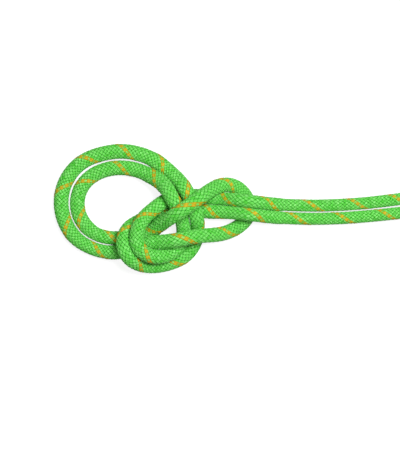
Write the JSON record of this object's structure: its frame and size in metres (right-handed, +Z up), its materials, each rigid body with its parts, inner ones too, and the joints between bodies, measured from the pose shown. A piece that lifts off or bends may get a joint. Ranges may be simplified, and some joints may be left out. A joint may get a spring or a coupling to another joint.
{
  "type": "knotted climbing rope",
  "caption": "Dynamic kernmantle climbing rope tied in a bowline on a bight: braided sheath over core strands, double eye, one collar and two standing ends.",
  "frame": {"origin": "middle of the underside of the rest pose's bounding box, on the table that the rope lies on", "axes": "+X from the double eye towards the two standing ends, +Y across the knot towards standing part A, +Z up off the table"},
  "size_m": [0.3056, 0.0974, 0.0339],
  "materials": {
    "sheath": "plaited bright green nylon yarn with one orange tracer",
    "core": "twisted natural white nylon",
    "end_sleeve": "shrunk-on film, satin black",
    "fused_tip": "melted nylon"
  },
  "bodies": {
    "knot": {"turn_a_sheath": "sheath", "turn_a_core_1": "core", "turn_a_core_2": "core", "turn_a_core_3": "core", "turn_a_core_4": "core", "turn_a_core_5": "core", "collar_sheath": "sheath", "collar_core_1": "core", "collar_core_2": "core", "collar_core_3": "core", "collar_core_4": "core", "collar_core_5": "core", "turn_b_sheath": "sheath", "turn_b_core_1": "core", "turn_b_core_2": "core", "turn_b_core_3": "core", "turn_b_core_4": "core", "turn_b_core_5": "core"},
    "outer_loop": {"outer_loop_sheath": "sheath", "outer_loop_core_1": "core", "outer_loop_core_2": "core", "outer_loop_core_3": "core", "outer_loop_core_4": "core", "outer_loop_core_5": "core"},
    "inner_loop": {"inner_loop_sheath": "sheath", "inner_loop_core_1": "core", "inner_loop_core_2": "core", "inner_loop_core_3": "core", "inner_loop_core_4": "core", "inner_loop_core_5": "core"},
    "tail_a": {"tail_a_sheath": "sheath", "tail_a_core_1": "core", "tail_a_core_2": "core", "tail_a_core_3": "core", "tail_a_core_4": "core", "tail_a_core_5": "core"},
    "tail_a_end": {"tail_a_end_sheath": "sheath", "tail_a_end_core_1": "core", "tail_a_end_core_2": "core", "tail_a_end_core_3": "core", "tail_a_end_core_4": "core", "tail_a_end_core_5": "core", "end_a_tip": "fused_tip", "end_a_sleeve": "end_sleeve"},
    "tail_b": {"tail_b_sheath": "sheath", "tail_b_core_1": "core", "tail_b_core_2": "core", "tail_b_core_3": "core", "tail_b_core_4": "core", "tail_b_core_5": "core"},
    "tail_b_end": {"tail_b_end_sheath": "sheath", "tail_b_end_core_1": "core", "tail_b_end_core_2": "core", "tail_b_end_core_3": "core", "tail_b_end_core_4": "core", "tail_b_end_core_5": "core", "end_b_tip": "fused_tip", "end_b_sleeve": "end_sleeve"}
  },
  "joints": [
    {"name": "outer_loop_fold", "type": "hinge", "parent": "knot", "child": "outer_loop", "pos_m": [-0.09423, 0.00185, 0.00638], "axis": [0.426, 0.9046, -0.0162], "range_deg": [0, 45], "stiffness_Nm_per_rad": 0.08},
    {"name": "inner_loop_fold", "type": "hinge", "parent": "knot", "child": "inner_loop", "pos_m": [-0.09437, 0.00185, 0.00655], "axis": [0.4217, 0.9055, 0.0467], "range_deg": [0, 45], "stiffness_Nm_per_rad": 0.08},
    {"name": "tail_a_swing", "type": "hinge", "parent": "knot", "child": "tail_a", "pos_m": [0.01893, 0.00286, 0.00524], "axis": [0, 0, 1], "range_deg": [0, 40], "stiffness_Nm_per_rad": 0.05},
    {"name": "tail_a_lift", "type": "hinge", "parent": "tail_a", "child": "tail_a_end", "pos_m": [0.06688, 0.00287, 0.00475], "axis": [0.06, -0.9982, 0], "range_deg": [0, 40], "stiffness_Nm_per_rad": 0.05},
    {"name": "tail_b_swing", "type": "hinge", "parent": "knot", "child": "tail_b", "pos_m": [0.0188, -0.0071, 0.00515], "axis": [0, 0, 1], "range_deg": [-40, 0], "stiffness_Nm_per_rad": 0.05},
    {"name": "tail_b_lift", "type": "hinge", "parent": "tail_b", "child": "tail_b_end", "pos_m": [0.06675, -0.00719, 0.00475], "axis": [0.0563, -0.9984, 0], "range_deg": [0, 40], "stiffness_Nm_per_rad": 0.05}
  ]
}
